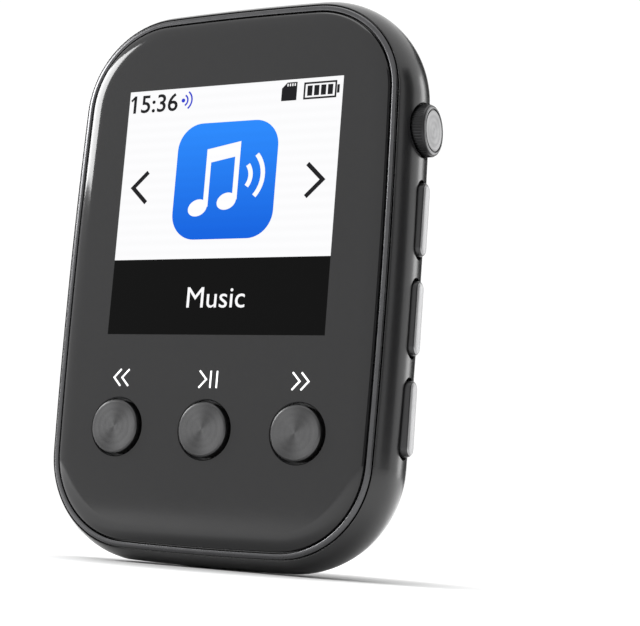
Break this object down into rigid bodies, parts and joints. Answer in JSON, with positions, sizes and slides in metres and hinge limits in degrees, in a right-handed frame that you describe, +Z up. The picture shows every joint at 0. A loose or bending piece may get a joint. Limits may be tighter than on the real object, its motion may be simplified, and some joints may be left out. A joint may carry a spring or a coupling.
{
  "type": "digital audio player",
  "caption": "Clip-on digital audio player: rounded glossy body, square colour screen and round keys behind glass, side keys, speaker grille and a sprung belt clip.",
  "frame": {"origin": "middle of the player's footprint as it stands upright, side keys and clip included, on the floor under its lower end", "axes": "+X to the right as the user looks at the screen, where the side keys are; +Y from the glass front to the belt clip at the back; +Z up, along the body's length, from the charging socket to the headphone socket"},
  "size_m": [0.0444, 0.017, 0.0642],
  "materials": {
    "front_glass_dark": "gloss",
    "bezel_metal": "satin",
    "casing_gloss": "gloss",
    "cover_satin": "satin",
    "key_metal": "spun",
    "silicone_grey": "matte",
    "switch_metal": "bright",
    "board_green": "satin",
    "screen_glass": "gloss",
    "backlight_white": "satin",
    "flex_amber": "satin",
    "frame_black": "matte",
    "screw_steel": "satin",
    "chip_black": "matte",
    "socket_black": "satin",
    "side_key_metal": "satin",
    "power_key_metal": "satin",
    "battery_foil": "satin",
    "foam_black": "matte",
    "speaker_black": "matte",
    "mesh_black": "matte",
    "bracket_steel": "satin",
    "spring_steel": "bright",
    "clip_satin": "satin",
    "clip_dark": "satin"
  },
  "bodies": {
    "body": {"back_cover": "cover_satin", "battery": "battery_foil", "battery_pad": "foam_black", "board_screws": "screw_steel", "bracket_screws": "screw_steel", "charging_socket": "switch_metal", "clip_bracket": "bracket_steel", "clip_hinge_pin": "screw_steel", "display_backlight": "backlight_white", "display_flex": "flex_amber", "display_panel": "screen_glass", "front_bezel": "bezel_metal", "front_dome_switches": "switch_metal", "front_glass": "front_glass_dark", "front_key_board": "board_green", "headphone_socket": "socket_black", "inner_frame": "frame_black", "key_membrane": "silicone_grey", "main_board": "board_green", "memory_card_slot": "switch_metal", "memory_chip": "chip_black", "microphone": "switch_metal", "processor_can": "switch_metal", "side_housing": "casing_gloss", "side_key_board": "board_green", "side_switches": "switch_metal", "speaker_driver": "speaker_black", "speaker_gasket": "foam_black", "speaker_mesh": "mesh_black"},
    "previous_key": {"previous_button": "key_metal"},
    "play_key": {"play_button": "key_metal"},
    "next_key": {"next_button": "key_metal"},
    "volume_up_key": {"volume_up_button": "side_key_metal"},
    "volume_down_key": {"volume_down_button": "side_key_metal"},
    "mode_key": {"mode_button": "side_key_metal"},
    "power_key": {"power_button": "power_key_metal", "power_button_ring": "screw_steel"},
    "clip": {"clip_cover": "clip_satin", "clip_arm": "clip_dark", "clip_spring": "spring_steel"}
  },
  "joints": [
    {"name": "previous_press", "type": "slide", "parent": "body", "child": "previous_key", "axis": [0, 1, 0], "range_m": [0, 0.00025], "stiffness_N_per_m": 800, "springref_m": -0.0005},
    {"name": "play_press", "type": "slide", "parent": "body", "child": "play_key", "axis": [0, 1, 0], "range_m": [0, 0.00025], "stiffness_N_per_m": 800, "springref_m": -0.0005},
    {"name": "next_press", "type": "slide", "parent": "body", "child": "next_key", "axis": [0, 1, 0], "range_m": [0, 0.00025], "stiffness_N_per_m": 800, "springref_m": -0.0005},
    {"name": "volume_up_press", "type": "slide", "parent": "body", "child": "volume_up_key", "axis": [-1, 0, 0], "range_m": [0, 0.00025], "stiffness_N_per_m": 800, "springref_m": -0.0005},
    {"name": "volume_down_press", "type": "slide", "parent": "body", "child": "volume_down_key", "axis": [-1, 0, 0], "range_m": [0, 0.00025], "stiffness_N_per_m": 800, "springref_m": -0.0005},
    {"name": "mode_press", "type": "slide", "parent": "body", "child": "mode_key", "axis": [-1, 0, 0], "range_m": [0, 0.00025], "stiffness_N_per_m": 800, "springref_m": -0.0005},
    {"name": "power_press", "type": "slide", "parent": "body", "child": "power_key", "axis": [-1, 0, 0], "range_m": [0, 0.00025], "stiffness_N_per_m": 800, "springref_m": -0.0005},
    {"name": "clip_hinge", "type": "hinge", "parent": "body", "child": "clip", "pos_m": [-0.00042, 0.0051, 0.0517], "axis": [1, 0, 0], "range_deg": [0, 18], "stiffness_Nm_per_rad": 0.12, "springref_deg": -34.38}
  ]
}
